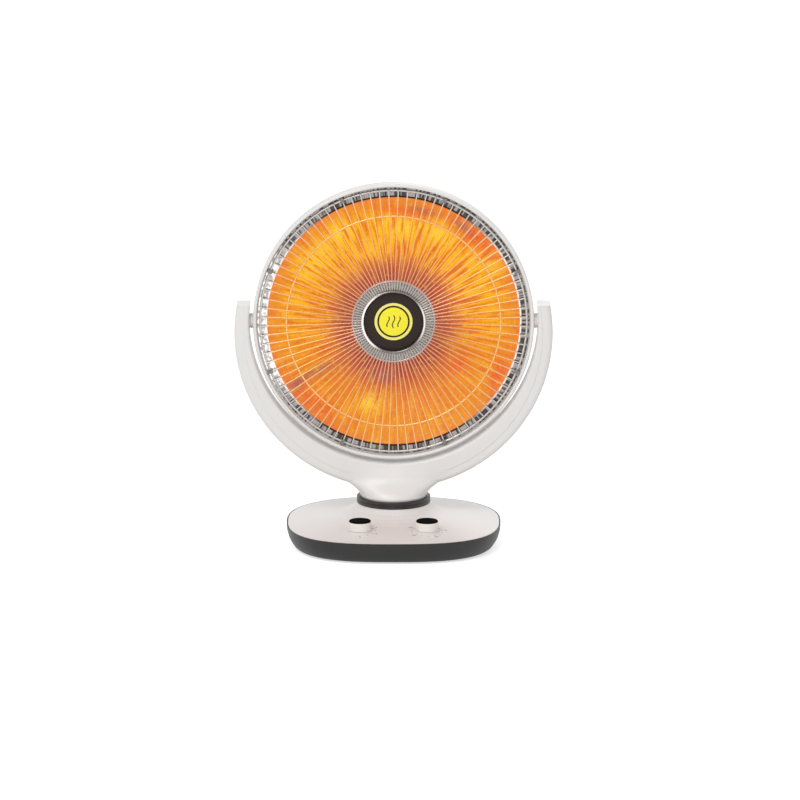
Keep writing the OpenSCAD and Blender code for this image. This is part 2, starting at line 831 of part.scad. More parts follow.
// What is cut away for the head to swing in, flared at both faces.
module yoke_mouth(r, half, rounding) {
    rotate_extrude($fn = 160) polygon(concat(
        [[0, -half - 30], [r + rounding, -half - 30]],
        arc(r + rounding, -half + rounding, rounding, 270, 180, 6),
        arc(r + rounding, half - rounding, rounding, 180, 90, 6),
        [[r + rounding, half + 30], [0, half + 30]]
    ));
}

// The neck: round where it stands, spreading sideways and thinning into the crescent.
neck_steps = [0, 0.06, 0.14, 0.24, 0.34, 0.45, 0.56, 0.68, 0.79, 0.9, 1];
neck_upright = 0.08;
neck_curve = 1.55;
neck_square = 2.6;
function neck_w(u) = neck_r
    + neck_spread * pow(max(0, u - neck_upright) / (1 - neck_upright), neck_curve);
function neck_d(u) = blend(neck_r, half_depth - 1, (1 - cos(180 * pow(u, 0.9))) / 2);
function neck_lip(u) = u == 0 ? 0.8 : 0;
function neck_n(u) = blend(2, neck_square, u);
module neck_loft(wall) {
    loft([
        for (u = neck_steps)
            squircle(
                neck_w(u) - wall - neck_lip(u), neck_d(u) - wall - neck_lip(u),
                neck_n(u), neck_n(u), neck_back, blend(neck_z, neck_top, u)
            )
    ]);
}

post_angles = [-62, -36, 36, 62];
yoke_post_r = 4.4;
yoke_screw_r = 1.6;
yoke_head_r = yoke_screw_r * 1.9;
yoke_head_t = 2;
yoke_screw_sink = 4;
function yoke_outer_at(a) =
    yoke_drop * cos(a) + sqrt(pow(yoke_out_r, 2) - pow(yoke_drop * sin(a), 2));
module at_yoke_posts() {
    for (a = post_angles)
        rotate([0, 0, a]) translate([0, (yoke_in_r + yoke_outer_at(a)) / 2, 0]) children();
}

// All that lies above a height, wide enough for the whole yoke.
module above_arms(z) {
    translate([-yoke_out_r - over, -base_d, z]) cube([2 * (yoke_out_r + over), 2 * base_d, yoke_out_r]);
}

module yoke_solid() {
    difference() {
        union() {
            on_head_axis() translate([0, yoke_drop, 0])
                yoke_disc(yoke_out_r, half_depth, yoke_round, yoke_step);
            neck_loft(0);
        }
        on_head_axis() yoke_mouth(yoke_in_r, half_depth, yoke_round * 0.5);
        above_arms(pivot_h + arm_top);
    }
}

// The hollow between the shells, with the pads and posts left standing.
module yoke_hollow() {
    inner_half = half_depth - yoke_wall - yoke_step;
    neck_pad = 4;
    neck_bore_r = half_depth - 2 * yoke_wall;
    difference() {
        yoke_ring_hollow(inner_half);
        above_arms(pivot_h + arm_top - yoke_wall);
    }
    at_neck() disc(neck_bore_r, neck_z + neck_pad, pivot_h - yoke_in_r - yoke_wall);
}

module yoke_ring_hollow(inner_half) {
    on_head_axis() difference() {
        translate([0, yoke_drop, -inner_half])
            cylinder(r = yoke_out_r - yoke_wall, h = 2 * inner_half, $fn = 160);
        translate([0, 0, -inner_half - 1])
            cylinder(r = yoke_in_r + yoke_wall, h = 2 * inner_half + 2, $fn = 160);
        at_yoke_posts() translate([0, 0, -inner_half - 1])
            cylinder(r = yoke_post_r, h = 2 * inner_half + 2);
        rotate([0, 90, 0]) cylinder(r = boss_r, h = pin_seat);
        rotate([0, -90, 0]) cylinder(r = boss_r, h = pin_seat);
    }
}

module yoke_shell(side) {
    color(white) difference() {
        intersection() {
            union() {
                yoke_solid();
                on_head_axis() for (s = [-90, 90])
                    rotate([0, s, 0]) translate([0, 0, pad_face])
                        cylinder(r = boss_r, h = yoke_wall);
            }
            translate([-yoke_out_r - over, side < 0 ? neck_back - base_d : neck_back, 0])
                cube([2 * (yoke_out_r + over), base_d, pivot_h + arm_top + over]);
        }
        yoke_hollow();
        on_head_axis() for (s = [-90, 90])
            rotate([0, s, 0]) disc(pin_r + fit_gap / 2, pad_face - 1, pin_seat + 0.5);
        at_neck() {
            disc(spindle_bore_r, neck_z - 1, neck_z + 5);
            at_spindle_screws()
                disc(spindle_screw_r + fit_gap / 2, neck_z - 1, spindle_screw_top + 0.8);
        }
        on_head_axis() at_yoke_posts() {
            translate([0, 0, -half_depth + yoke_wall * 2])
                cylinder(r = yoke_screw_r + fit_gap / 2, h = yoke_depth);
            translate([0, 0, half_depth - yoke_screw_sink])
                cylinder(r = yoke_head_r + fit_gap, h = yoke_screw_sink + over);
        }
    }
}

module yoke_front() { yoke_shell(-1); }
module yoke_rear() { yoke_shell(1); }

module yoke_screws() {
    color(steel) on_head_axis() at_yoke_posts()
        translate([0, 0, half_depth - yoke_screw_sink + yoke_head_t]) rotate([180, 0, 0])
            screw(
                yoke_screw_r, yoke_head_r, yoke_head_t, 0,
                yoke_depth - yoke_screw_sink - yoke_wall * 2 - 0.4
            );
}

// A headed pin through each arm, whose end is the axle that the head tilts on.
module pivot_pins() {
    color(steel) on_head_axis()
        for (s = [-90, 90]) rotate([0, s, 0]) {
            disc(pin_r, pin_tip, pin_seat + 1);
            disc(pin_head_r, pin_seat, pin_seat + pin_head_t);
        }
}

module pivot_washers() {
    color(black) on_head_axis()
        for (s = [-90, 90]) rotate([0, s, 0])
            ring(boss_r - 0.5, pin_r + fit_gap, pad_face - washer_t, pad_face);
}

// ---- Head: depths are from the pivot, and negative ones lie in front of it ----
mouth_r = head_r - mouth_lip;
bowl_r = head_r - bowl_step;
dish_r = mouth_r - flange_w;
lip_round = mouth_lip / 2;
shelf_sunk = 9;
shelf_w = 7;
shelf_t = 2.4;
shelf_z = shelf_sunk - lip_front;
shelf_r = mouth_r - shelf_w;
dish_front = shelf_z - dish_t;
focus = pow(dish_r, 2) / 4 / dish_depth;
dish_bottom = dish_front + dish_depth;
flange_out_r = mouth_r - 1.2;

// The housing's outline steps in behind the rim, and a bowl runs from there to the flat back.
rim_round = 1.5;
bowl_start = rim_back + 2 * rim_round;
shell_steps = 14;
function shell_r(t) = back_r + (bowl_r - back_r) * cos(t);
function shell_z(t) = bowl_start + (head_back - bowl_start) * sin(t);
opening_r = back_r - 14;

module housing_skin() {
    turns = [for (i = [0 : shell_steps]) 90 * i / shell_steps];
    rotate_extrude($fn = 180) polygon(concat(
        arc(head_r - lip_round, lip_round - lip_front, lip_round, 180, 360, 8),
        arc(head_r - rim_round, rim_back - rim_round, rim_round, 0, 90, 4),
        arc(bowl_r + rim_round, rim_back + rim_round, rim_round, 270, 180, 4),
        [for (t = turns) [shell_r(t), shell_z(t)]],
        [[opening_r, head_back], [opening_r, head_back - head_wall]],
        [for (i = [shell_steps : -1 : 0])
            let (t = turns[i])
            [shell_r(t) - head_wall * cos(t), shell_z(t) - head_wall * sin(t)]],
        [
            [bowl_r - head_wall, rim_back - head_wall],
            [head_r - head_wall, rim_back - head_wall],
            [head_r - head_wall, shelf_z + shelf_t],
            [shelf_r, shelf_z + shelf_t],
            [shelf_r, shelf_z],
            [mouth_r, shelf_z]
        ]
    ));
}

vent_w = 5;
vent_in_r = back_r + 12;
vent_l = 28;
vent_out_r = vent_in_r + vent_l;
rear_screw_r = 1.5;
rear_head_r = 2.9;
rear_head_t = 1.6;
rear_screw_at = back_r - 7;
rear_boss_r = rear_screw_r + 2.2;
rear_bite = 6;
module at_rear_screws() {
    for (a = [45 : 90 : 315]) rotate([0, 0, a]) translate([rear_screw_at, 0, 0]) children();
}

module head_housing() {
    color(white) on_head_axis() difference() {
        union() {
            housing_skin();
            for (s = [-90, 90]) rotate([0, s, 0]) disc(boss_r, pin_tip, boss_face);
            at_rear_screws() disc(rear_boss_r, head_back - head_wall - rear_bite, head_back - 1);
        }
        for (s = [-90, 90]) rotate([0, s, 0])
            disc(pin_r + run_gap, pin_tip - pin_end_gap, boss_face + over);
        at_rear_screws()
            disc(rear_screw_r + fit_gap / 2, head_back - head_wall - rear_bite - 1, head_back + 1);
        for (i = [0 : vent_count - 1])
            rotate([0, 0, 360 * (i + 0.5) / vent_count])
                slot(vent_in_r, vent_out_r, vent_w, dish_back_z(vent_out_r) + over, head_back + over);
    }
}

// The vented disc that closes the back of the housing and carries the bracket.
cover_plate_t = 2.6;
cover_plate_r = back_r - 2;
cover_button = 2;
socket_tail_r = 11;
bracket_gap = 6;
bracket_z = dish_bottom + bracket_gap;
bracket_t = 1.5;
bracket_w = 15;
bracket_in = 8;
bracket_half = opening_r - bracket_in;
bracket_post_r = 4;
bracket_screw_r = 1.5;
bracket_head_r = 2.9;
bracket_head_t = 1.8;
bracket_bite = 7;
module at_bracket_ends() {
    for (s = [-1, 1]) translate([s * bracket_half, 0, 0]) children();
}

module rear_cover() {
    slot_rows = [16, 28, 40];
    slot_w = 2.6;
    slot_l = 9;
    slot_pitch = 7;
    edge = 1.8;
    plate_back = head_back + cover_plate_t;
    color(white) on_head_axis() difference() {
        union() {
            rotate_extrude($fn = 160) polygon(concat(
                [[0, head_back], [cover_plate_r, head_back]],
                arc(cover_plate_r - edge, plate_back - edge, edge, 0, 90, 5),
                [
                    [rear_screw_at - 5, plate_back],
                    [rear_screw_at - 8, plate_back + cover_button],
                    [0, plate_back + cover_button]
                ]
            ));
            at_bracket_ends() disc(bracket_post_r, bracket_z + bracket_t, head_back + 1);
        }
        for (r = slot_rows)
            let (count = floor(2 * PI * r / slot_pitch))
            for (i = [0 : count - 1])
                rotate([0, 0, 360 * (i + 0.5) / count])
                    slot(
                        r - slot_l / 2, r + slot_l / 2, slot_w,
                        head_back - over, plate_back + cover_button + over
                    );
        at_bracket_ends()
            disc(bracket_screw_r + fit_gap / 2, bracket_z, bracket_z + bracket_t + bracket_bite);
        at_rear_screws() disc(rear_screw_r + fit_gap, head_back - 1, plate_back + 1);
    }
}

module rear_screws() {
    color(steel) on_head_axis() at_rear_screws()
        translate([0, 0, head_back + cover_plate_t + rear_head_t]) rotate([180, 0, 0])
            screw(
                rear_screw_r, rear_head_r, rear_head_t, 0,
                cover_plate_t + head_wall + rear_bite - 1
            );
}

// ---- Reflector and element ----
function dish_z(r) = dish_bottom - pow(r, 2) / 4 / focus;
function dish_back_z(r) = dish_z(r) + dish_t * sqrt(1 + pow(r / 2 / focus, 2));
dish_steps = 22;
bead_r = 0.8;

module reflector() {
    radii = [for (i = [0 : dish_steps]) blend(dish_r, dish_hole_r, i / dish_steps)];
    color(glow) on_head_axis() rotate_extrude($fn = 180) polygon(concat(
        [[flange_out_r, dish_front + dish_t], [flange_out_r, dish_front]],
        arc(dish_r + bead_r, dish_front, bead_r, 360, 180, 6),
        [for (r = radii) [r, dish_z(r)]],
        [for (i = [dish_steps : -1 : 0]) [radii[i], dish_back_z(radii[i])]],
        [[dish_r + 2, dish_front + dish_t]]
    ));
}

module socket_bracket() {
    color(steel) on_head_axis() difference() {
        translate([0, 0, bracket_z]) linear_extrude(bracket_t) {
            square([2 * bracket_half, bracket_w], center = true);
            circle(r = dish_hole_r + bracket_gap);
            for (s = [-1, 1]) translate([s * bracket_half, 0]) circle(r = bracket_w / 2);
        }
        at_bracket_ends() disc(bracket_screw_r + fit_gap, bracket_z - 1, bracket_z + bracket_t + 1);
        disc(socket_tail_r + fit_gap, bracket_z - 1, bracket_z + bracket_t + 1);
    }
}

module bracket_screws() {
    color(steel) on_head_axis() at_bracket_ends()
        screw(
            bracket_screw_r, bracket_head_r, bracket_head_t,
            bracket_z - bracket_head_t, bracket_t + bracket_bite - 1.5
        );
}

socket_proud = 14;
socket_brim = 5;
socket_tail_l = 12;
socket_front = dish_bottom - socket_proud;
socket_tail = min(head_back - 4, bracket_z + socket_tail_l);
module element_socket() {
    lead_r = 4;
    color(porcelain) on_head_axis() difference() {
        union() {
            disc(dish_hole_r - fit_gap, socket_front, bracket_z);
            disc(dish_hole_r + socket_brim, dish_back_z(dish_hole_r), bracket_z);
            disc(socket_tail_r, bracket_z - 1, socket_tail);
        }
        disc(lead_r, bracket_z + 3, socket_tail + 1);
    }
}

// The ceramic core stands on the socket, and the nut closes its front.
core_front = socket_front - core_l;
core_edge = 1;
module ceramic_core() {
    color(porcelain) on_head_axis() rotate_extrude() polygon([
        [0, socket_front],
        [core_r, socket_front],
        [core_r, core_front + core_edge],
        [core_r - core_edge, core_front],
        [0, core_front]
    ]);
}

// The coil is one tube that winds along the core. Its ends ease over until they run along the core.
coil_sides = 6;
coil_rings = 24;
coil_r = coil_wire_r + (core_r + fit_gap) / cos(180 / coil_rings);
coil_end = 2 * coil_wire_r;
end_lift = 2.2 * coil_wire_r;
coil_back = socket_front - coil_end - end_lift;
coil_front = core_front + coil_end + end_lift;
coil_ease = 60;
coil_steps = coil_turns * coil_rings;
function eased_end(a) = a < coil_ease ? pow(1 - a / coil_ease, 2) : 0;
function coil_point(i) =
    let (
        a = 360 * i / coil_rings,
        total = 360 * coil_turns,
        lift = end_lift * (eased_end(a) - eased_end(total - a))
    )
    [coil_r * cos(a), coil_r * sin(a), blend(coil_back, coil_front, i / coil_steps) + lift];
coil_path = concat(
    [coil_point(0) + [0, 0, coil_end]],
    [for (i = [0 : coil_steps]) coil_point(i)],
    [coil_point(coil_steps) - [0, 0, coil_end]]
);
function unit(v) = v / norm(v);
function tube_ring(path, i, r, sides) =
    let (
        last = len(path) - 1,
        along = unit(path[min(i + 1, last)] - path[max(i - 1, 0)]),
        out = unit([path[i][0], path[i][1], 0]),
        side = unit(cross(along, out)),
        up = cross(side, along)
    )
    [for (k = [0 : sides - 1])
        let (a = 360 * k / sides) path[i] + r * (cos(a) * up + sin(a) * side)];
coil_gap = min([
    for (i = [0 : 2 : len(coil_path) - 1])
        for (j = [i + coil_rings / 2 : len(coil_path) - 1])
            norm(coil_path[i] - coil_path[j])
]) - 2 * coil_wire_r;
echo(least_gap_of_the_coil_to_itself = coil_gap);

module heating_coil() {
    color(glow) on_head_axis()
        loft([for (i = [0 : len(coil_path) - 1]) tube_ring(coil_path, i, coil_wire_r, coil_sides)]);
}

// The nut's washer reaches over the coil, so that the coil ends on it.
nut_r = core_r - 4;
nut_t = 5;
nut_washer_t = 1.2;
module element_nut() {
    color(brass) on_head_axis() {
        translate([0, 0, core_front - nut_t]) cylinder(r = nut_r, h = nut_t, $fn = 6);
        disc(coil_r + coil_wire_r, core_front - nut_washer_t, core_front);
    }
}

module thermal_cutout() {
    case_r = 7;
    case_h = 4;
    stem_r = 4.5;
    z0 = bracket_z + bracket_t;
    color(black) on_head_axis() translate([bracket_half * 0.62, 0, 0]) {
        disc(case_r, z0, z0 + case_h);
        disc(stem_r, z0 + case_h - 1, z0 + case_h + 3);
    }
}

// ---- Guard ----
outer_ring_r = mouth_r - ring_inset;
inner_ring_r = bezel_r + hub_band;
weld = 0.45;
guard_z = dish_front - ring_wire_r - fit_gap;
wire_z = guard_z - ring_wire_r - wire_r + weld;
module torus(r, wire) {
    translate([0, 0, guard_z]) rotate_extrude($fn = 160) translate([r, 0]) circle(r = wire, $fn = 24);
}

module front_grille() {
    color(chrome) on_head_axis() {
        torus(outer_ring_r, ring_wire_r);
        torus(mid_ring_r, ring_wire_r);
        torus(inner_ring_r, ring_wire_r);
        for (i = [0 : wire_count - 1])
            rotate([0, 0, 360 * (i + 0.5) / wire_count]) translate([bezel_r + fit_gap, 0, wire_z])
                rotate([0, 90, 0])
                    cylinder(r = wire_r, h = outer_ring_r - bezel_r + ring_wire_r * 0.4, $fn = 16);
    }
}

clip_w = 4;
clip_first = 22.5;
module at_clips() {
    for (i = [0 : clip_count - 1]) rotate([0, 0, clip_first + 360 * i / clip_count]) children();
}

clip_in = ring_wire_r + 1.6;
clip_out = flange_out_r - outer_ring_r - fit_gap;
module grille_clips() {
    top = wire_z - wire_r - fit_gap;
    plate = 1;
    color(chrome) on_head_axis() at_clips() difference() {
        translate([outer_ring_r - clip_in, -clip_w / 2, top - plate])
            cube([clip_in + clip_out, clip_w, dish_front - top + plate]);
        translate([outer_ring_r - clip_in - 1, -clip_w, top])
            cube([clip_in + ring_wire_r + fit_gap + 1, 2 * clip_w, dish_front - top + 1]);
    }
}

hub_front = wire_z - wire_r - 3;
hub_plate_t = 1.2;
hub_cap_t = 2.2;
cap_z = hub_front + cap_recess;
cap_back = cap_z + hub_cap_t;
cap_dome = 0.8;
badge_t = 0.7;
module hub_plate() {
    color(steel) on_head_axis()
        ring(
            inner_ring_r - ring_wire_r - fit_gap, bezel_r + fit_gap,
            wire_z + wire_r, wire_z + wire_r + hub_plate_t
        );
}

// The bezel is a ring with a rounded front edge, a seat for the cap and a rear flange.
module hub_bezel() {
    inner = bezel_r - bezel_wall;
    nose = bezel_wall / 2;
    plate_back = wire_z + wire_r + hub_plate_t;
    flange = 5;
    seat = 3;
    back = cap_back + 1.5;
    color(chrome) on_head_axis() rotate_extrude($fn = 120) polygon(concat(
        arc(bezel_r - nose, hub_front + nose, nose, 180, 360, 8),
        [
            [bezel_r, plate_back],
            [bezel_r + flange, plate_back],
            [bezel_r + flange, back],
            [inner - seat, back],
            [inner - seat, cap_back],
            [inner, cap_back]
        ]
    ));
}

module hub_cap() {
    outer = bezel_r - bezel_wall - fit_gap;
    color(hub_brown) on_head_axis() rotate_extrude($fn = 120) polygon([
        [0, cap_back],
        [outer, cap_back],
        [outer, cap_z + 0.5],
        [outer - 1.2, cap_z],
        [badge_r, cap_z - cap_dome],
        [0, cap_z - cap_dome]
    ]);
}

module hub_badge() {
    face = cap_z - cap_dome;
    rim = 1.8;
    groove = 3.4;
    color(yellow) on_head_axis() {
        ring(badge_r, badge_r - rim, face - badge_t, face);
        disc(badge_r - rim - groove, face - badge_t, face);
    }
}

base_pan();
base_cover();
rubber_feet();
base_screws();
ballast_weights();
cord_grommet();
terminal_block();
oscillation_motor();
motor_screws();
tip_switch();
power_switch();
timer_unit();
swivel_bush();
thrust_washer();
neck_ring();
tip_plunger();
drive_pinion();
power_shaft();
power_knob();
power_knob_cap();
timer_shaft();
timer_knob();
timer_knob_cap();
swivel_spindle();
spindle_screws();
swing_gear();
gear_collar();
yoke_front();
yoke_rear();
yoke_screws();
pivot_pins();
pivot_washers();
head_housing();
rear_cover();
rear_screws();
reflector();
socket_bracket();
bracket_screws();
element_socket();
ceramic_core();
heating_coil();
element_nut();
thermal_cutout();
front_grille();
grille_clips();
hub_plate();
hub_bezel();
hub_cap();
hub_badge();
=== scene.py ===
import math

import bmesh
import bpy
from mathutils import Matrix, Vector
from mathutils.bvhtree import BVHTree


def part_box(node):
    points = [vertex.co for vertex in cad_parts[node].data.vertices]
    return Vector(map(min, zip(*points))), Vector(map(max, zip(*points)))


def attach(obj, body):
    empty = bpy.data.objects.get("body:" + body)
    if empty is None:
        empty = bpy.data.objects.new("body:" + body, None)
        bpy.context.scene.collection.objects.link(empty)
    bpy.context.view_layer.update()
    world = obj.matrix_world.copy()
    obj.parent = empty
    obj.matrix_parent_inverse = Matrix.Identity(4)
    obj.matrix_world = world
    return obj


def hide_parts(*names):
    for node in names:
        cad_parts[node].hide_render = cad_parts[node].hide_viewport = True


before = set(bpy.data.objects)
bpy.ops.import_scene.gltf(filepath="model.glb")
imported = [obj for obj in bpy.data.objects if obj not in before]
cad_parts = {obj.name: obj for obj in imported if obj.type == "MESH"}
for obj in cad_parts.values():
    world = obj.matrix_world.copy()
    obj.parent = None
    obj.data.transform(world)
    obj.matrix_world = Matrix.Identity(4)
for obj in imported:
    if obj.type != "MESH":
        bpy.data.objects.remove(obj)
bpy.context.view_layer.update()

# ---------------------------------------------------------------- Camera, floor and light
# The heater is seen square on from a little above, through a very long lens. It stands on a
# white floor that keeps its shadow, in soft light from a window side, a fill and a rim behind.
view_lift = math.radians(12.75)
camera_distance = 7.0
photo_width = 0.904
aim_point = Vector((0.0073, -0.0111, 0.1674))

camera_data = bpy.data.cameras.new("camera")
camera_data.sensor_width = 36
camera_data.lens = camera_data.sensor_width * camera_distance / photo_width
camera_data.clip_end = 60
camera = bpy.data.objects.new("camera", camera_data)
toward_camera = Vector((0, -math.cos(view_lift), math.sin(view_lift)))
camera.location = aim_point + toward_camera * camera_distance
camera.rotation_euler = (math.pi / 2 - view_lift, 0, 0)
bpy.context.scene.collection.objects.link(camera)
bpy.context.scene.camera = camera
bpy.context.scene.view_settings.view_transform = "Standard"


def soft_light(name, place, size, power, target=(0, 0, 0.2)):
    """A square studio panel that faces the heater."""
    panel = bpy.data.lights.new(name, "AREA")
    panel.shape = "SQUARE"
    panel.size = size
    panel.energy = power
    lamp = bpy.data.objects.new(name, panel)
    lamp.location = place
    lamp.rotation_euler = (Vector(place) - Vector(target)).to_track_quat("Z", "Y").to_euler()
    bpy.context.scene.collection.objects.link(lamp)


soft_light("window_side", (-1.0, -2.4, 2.5), 1.6, 50)
soft_light("fill_side", (1.9, -1.7, 1.3), 1.8, 2.5)
soft_light("back_rim", (0.6, 2.2, 1.9), 1.6, 14)


class Field:
    """A value or colour on its way through a finish. Operators add Math nodes."""

    def __init__(self, socket):
        self.socket = socket
        self.tree = socket.id_data

    def node(self, kind, settings=None, sockets=None, out=0):
        """Adds a node with these settings and inputs, and gives one of its outputs."""
        made = self.tree.nodes.new(kind)
        for name, value in (settings or {}).items():
            if name == "stops":
                ramp = made.color_ramp
                while len(ramp.elements) < len(value):
                    ramp.elements.new(0.5)
                for element, (place, colour) in zip(ramp.elements, value):
                    element.position = place
                    element.color = colour
            else:
                setattr(made, name, value)
        for name, value in (sockets or {}).items():
            if isinstance(value, Field):
                self.tree.links.new(value.socket, made.inputs[name])
            else:
                made.inputs[name].default_value = value
        return Field(made.outputs[out])

    def math(self, operation, first, second=0.0):
        """A Math node on one value or two."""
        return self.node("ShaderNodeMath", {"operation": operation}, {0: first, 1: second})

    def __add__(self, other):
        return self.math("ADD", self, other)

    def __sub__(self, other):
        return self.math("SUBTRACT", self, other)

    def __rsub__(self, other):
        return self.math("SUBTRACT", other, self)

    def __mul__(self, other):
        return self.math("MULTIPLY", self, other)

    def __truediv__(self, other):
        return self.math("DIVIDE", self, other)

    def least(self, other):
        return self.math("MINIMUM", self, other)

    def most(self, other):
        return self.math("MAXIMUM", self, other)

    def step(self, low, high):
        """0 below low, 1 above high and smooth between them; falls where low is above high."""
        return self.node(
            "ShaderNodeMapRange",
            {"interpolation_type": "SMOOTHSTEP"},
            {"Value": self, "From Min": low, "From Max": high, "To Min": 0.0, "To Max": 1.0},
        )

    def noise(self, size, detail=2.0, stretch=(1, 1, 1), roughness=0.5):
        """Cloudy noise with lumps of this size in metres, drawn out by stretch."""
        scaled = self.node(
            "ShaderNodeMapping", {}, {"Vector": self, "Scale": [s / size for s in stretch]}
        )
        settings = {"noise_dimensions": "3D"}
        sockets = {"Vector": scaled, "Scale": 1.0, "Detail": detail, "Roughness": roughness}
        return self.node("ShaderNodeTexNoise", settings, sockets)

    def between(self, low, high):
        """A colour from low, where this is 0, to high, where it is 1."""
        factor, first_colour, second_colour, mixed_colour = 0, 6, 7, 2
        return self.node(
            "ShaderNodeMix",
            {"data_type": "RGBA", "clamp_factor": True},
            {factor: self, first_colour: low, second_colour: high},
            out=mixed_colour,
        )


def seen_directly(tree):
    """1 on rays from the camera or through a mirror or glass, and 0 on those that light."""
    path = tree.nodes.new("ShaderNodeLightPath")
    camera_ray = Field(path.outputs["Is Camera Ray"])
    glass_ray = Field(path.outputs["Is Transmission Ray"])
    return camera_ray.most(glass_ray).most(Field(path.outputs["Is Glossy Ray"]))


white = (1, 1, 1, 1)
wall_light = 0.56
world = bpy.data.worlds.new("studio")
world.use_nodes = True
sky = world.node_tree
lighting_wall = sky.nodes["Background"]
lighting_wall.inputs["Color"].default_value = white
lighting_wall.inputs["Strength"].default_value = wall_light
in_view = seen_directly(sky)
white_wall = in_view.node("ShaderNodeBackground", {}, {"Color": white})
wall_mix = in_view.node(
    "ShaderNodeMixShader", {}, {0: in_view, 1: Field(lighting_wall.outputs[0]), 2: white_wall}
)
sky.links.new(wall_mix.socket, sky.nodes["World Output"].inputs["Surface"])
bpy.context.scene.world = world

floor_size = 14
floor_white = (0.86, 0.86, 0.86, 1)
floor_lift = 0.6
floor_paint = bpy.data.materials.new("floor_paint")
floor_paint.use_nodes = True
paint_tree = floor_paint.node_tree
floor_shader = paint_tree.nodes["Principled BSDF"]
floor_shader.inputs["Base Color"].default_value = floor_white
floor_shader.inputs["Roughness"].default_value = 0.9
floor_shader.inputs["Specular IOR Level"].default_value = 0.0
in_view = seen_directly(paint_tree)
plain_floor = Field(floor_shader.outputs[0])
floor_glow = in_view.node("ShaderNodeEmission", {}, {"Strength": floor_lift})
lifted_floor = in_view.node("ShaderNodeAddShader", {}, {0: plain_floor, 1: floor_glow})
floor_mix = in_view.node(
    "ShaderNodeMixShader", {}, {0: in_view, 1: plain_floor, 2: lifted_floor}
)
paint_tree.links.new(floor_mix.socket, paint_tree.nodes["Material Output"].inputs["Surface"])

floor_shape = bmesh.new()
bmesh.ops.create_grid(floor_shape, x_segments=1, y_segments=1, size=floor_size)
floor_mesh = bpy.data.meshes.new("floor")
floor_shape.to_mesh(floor_mesh)
floor_shape.free()
floor_mesh.materials.append(floor_paint)
floor = bpy.data.objects.new("floor", floor_mesh)
bpy.context.scene.collection.objects.link(floor)


# ---------------------------------------------------------------- Base pan
# A deep moulded pan in charcoal plastic, with a fine pebbled grain that scatters the light. Its
# piece is the solid's own mesh with the facets of the wall run together. Four rubber feet and
# six screws are let into its underside, and iron weights lie inside it.
def paint(red, green, blue):
    """A colour as read off a screen, 0 to 255, turned into the light it stands for."""
    shares = [level / 255 for level in (red, green, blue)]
    return (*[s / 12.92 if s <= 0.04045 else ((s + 0.055) / 1.055) ** 2.4 for s in shares], 1)


def start_finish(name, constants):
    """A new finish, and the place of each point of the piece in metres."""
    finish = bpy.data.materials.new(name)
    finish.use_nodes = True
    for socket, value in constants.items():
        finish.node_tree.nodes["Principled BSDF"].inputs[socket].default_value = value
    place = finish.node_tree.nodes.new("ShaderNodeTexCoord")
    return finish, Field(place.outputs["Object"])


def feed(finish, **fields):
    """Links fields to the shader, by the socket's name with _ for a space."""
    shader = finish.node_tree.nodes["Principled BSDF"]
    for name, field in fields.items():
        finish.node_tree.links.new(field.socket, shader.inputs[name.replace("_", " ")])


def relief(height, depth):
    """Bumps of this depth in metres, for the shader's Normal."""
    return height.node("ShaderNodeBump", {}, {"Height": height, "Strength": 1.0, "Distance": depth})


def shades(colour, spread):
    """A deeper and a paler shade of a colour, this share to each side."""
    deep = [c * (1 - spread) for c in colour[:3]] + [1]
    pale = [min(1.0, c * (1 + spread)) for c in colour[:3]] + [1]
    return deep, pale


def moulded(
    name, colour, gloss=0.4, grain=0.0009, depth=0.00003, shade=0.06, coat=0.0, specular=0.5
):
    """Moulded plastic: a spark-eroded grain, and a colour that drifts a little over the piece."""
    constants = {"Coat Weight": coat, "Coat Roughness": 0.25, "Specular IOR Level": specular}
    finish, place = start_finish(name, constants)
    pebbles = place.noise(grain, detail=1.0)
    drift = place.noise(0.045, detail=3.0)
    feed(
        finish,
        Base_Color=(drift * 0.75 + pebbles * 0.25).between(*shades(colour, shade)),
        Roughness=drift * 0.12 + (pebbles * 0.08 + (gloss - 0.1)),
        Normal=relief(pebbles, depth),
    )
    return finish


def dress(finish, *nodes):
    """Gives CAD nodes a finish through their own slots."""
    for name in nodes:
        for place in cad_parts[name].material_slots:
            place.material = finish


def add_piece(name, shape, finish, body):
    """Makes a mesh piece from a bmesh, with its finish and its body."""
    bmesh.ops.recalc_face_normals(shape, faces=shape.faces)
    mesh = bpy.data.meshes.new(name)
    shape.to_mesh(mesh)
    shape.free()
    mesh.materials.append(finish)
    piece = bpy.data.objects.new(name, mesh)
    bpy.context.scene.collection.objects.link(piece)
    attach(piece, body)
    return piece


same_point = 1e-6
pan_crease = math.radians(25)
pan_finish = moulded("pan_charcoal", paint(20, 19, 19), 0.5, 0.0011, 0.00006, 0.12)
pan_shape = bmesh.new()
pan_shape.from_mesh(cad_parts["base_pan"].data)
bmesh.ops.remove_doubles(pan_shape, verts=pan_shape.verts, dist=same_point)
for face in pan_shape.faces:
    face.smooth = True
    face.material_index = 0
pan = add_piece("pan", pan_shape, pan_finish, "base")
pan.data.set_sharp_from_angle(angle=pan_crease)
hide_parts("base_pan")
foot_finish = moulded("foot_rubber", paint(34, 33, 33), 0.8, 0.0005, 0.00004, 0.2)
dress(foot_finish, "rubber_feet", "cord_grommet")


def bare_metal(
    name, colour, gloss=0.3, stretch=(1, 1, 1), scratch=0.0012, depth=0.00001, shade=0.1
):
    """Metal with fine marks, drawn out along the axes where stretch is small."""
    finish, place = start_finish(name, {"Metallic": 1.0})
    marks = place.noise(scratch, detail=3.0, stretch=stretch, roughness=0.6)
    stain = place.noise(0.012, detail=3.0)
    feed(
        finish,
        Base_Color=stain.between(*shades(colour, shade)),
        Roughness=marks * 0.16 + (stain * 0.1 + (gloss - 0.1)),
        Normal=relief(marks, depth),
    )
    return finish


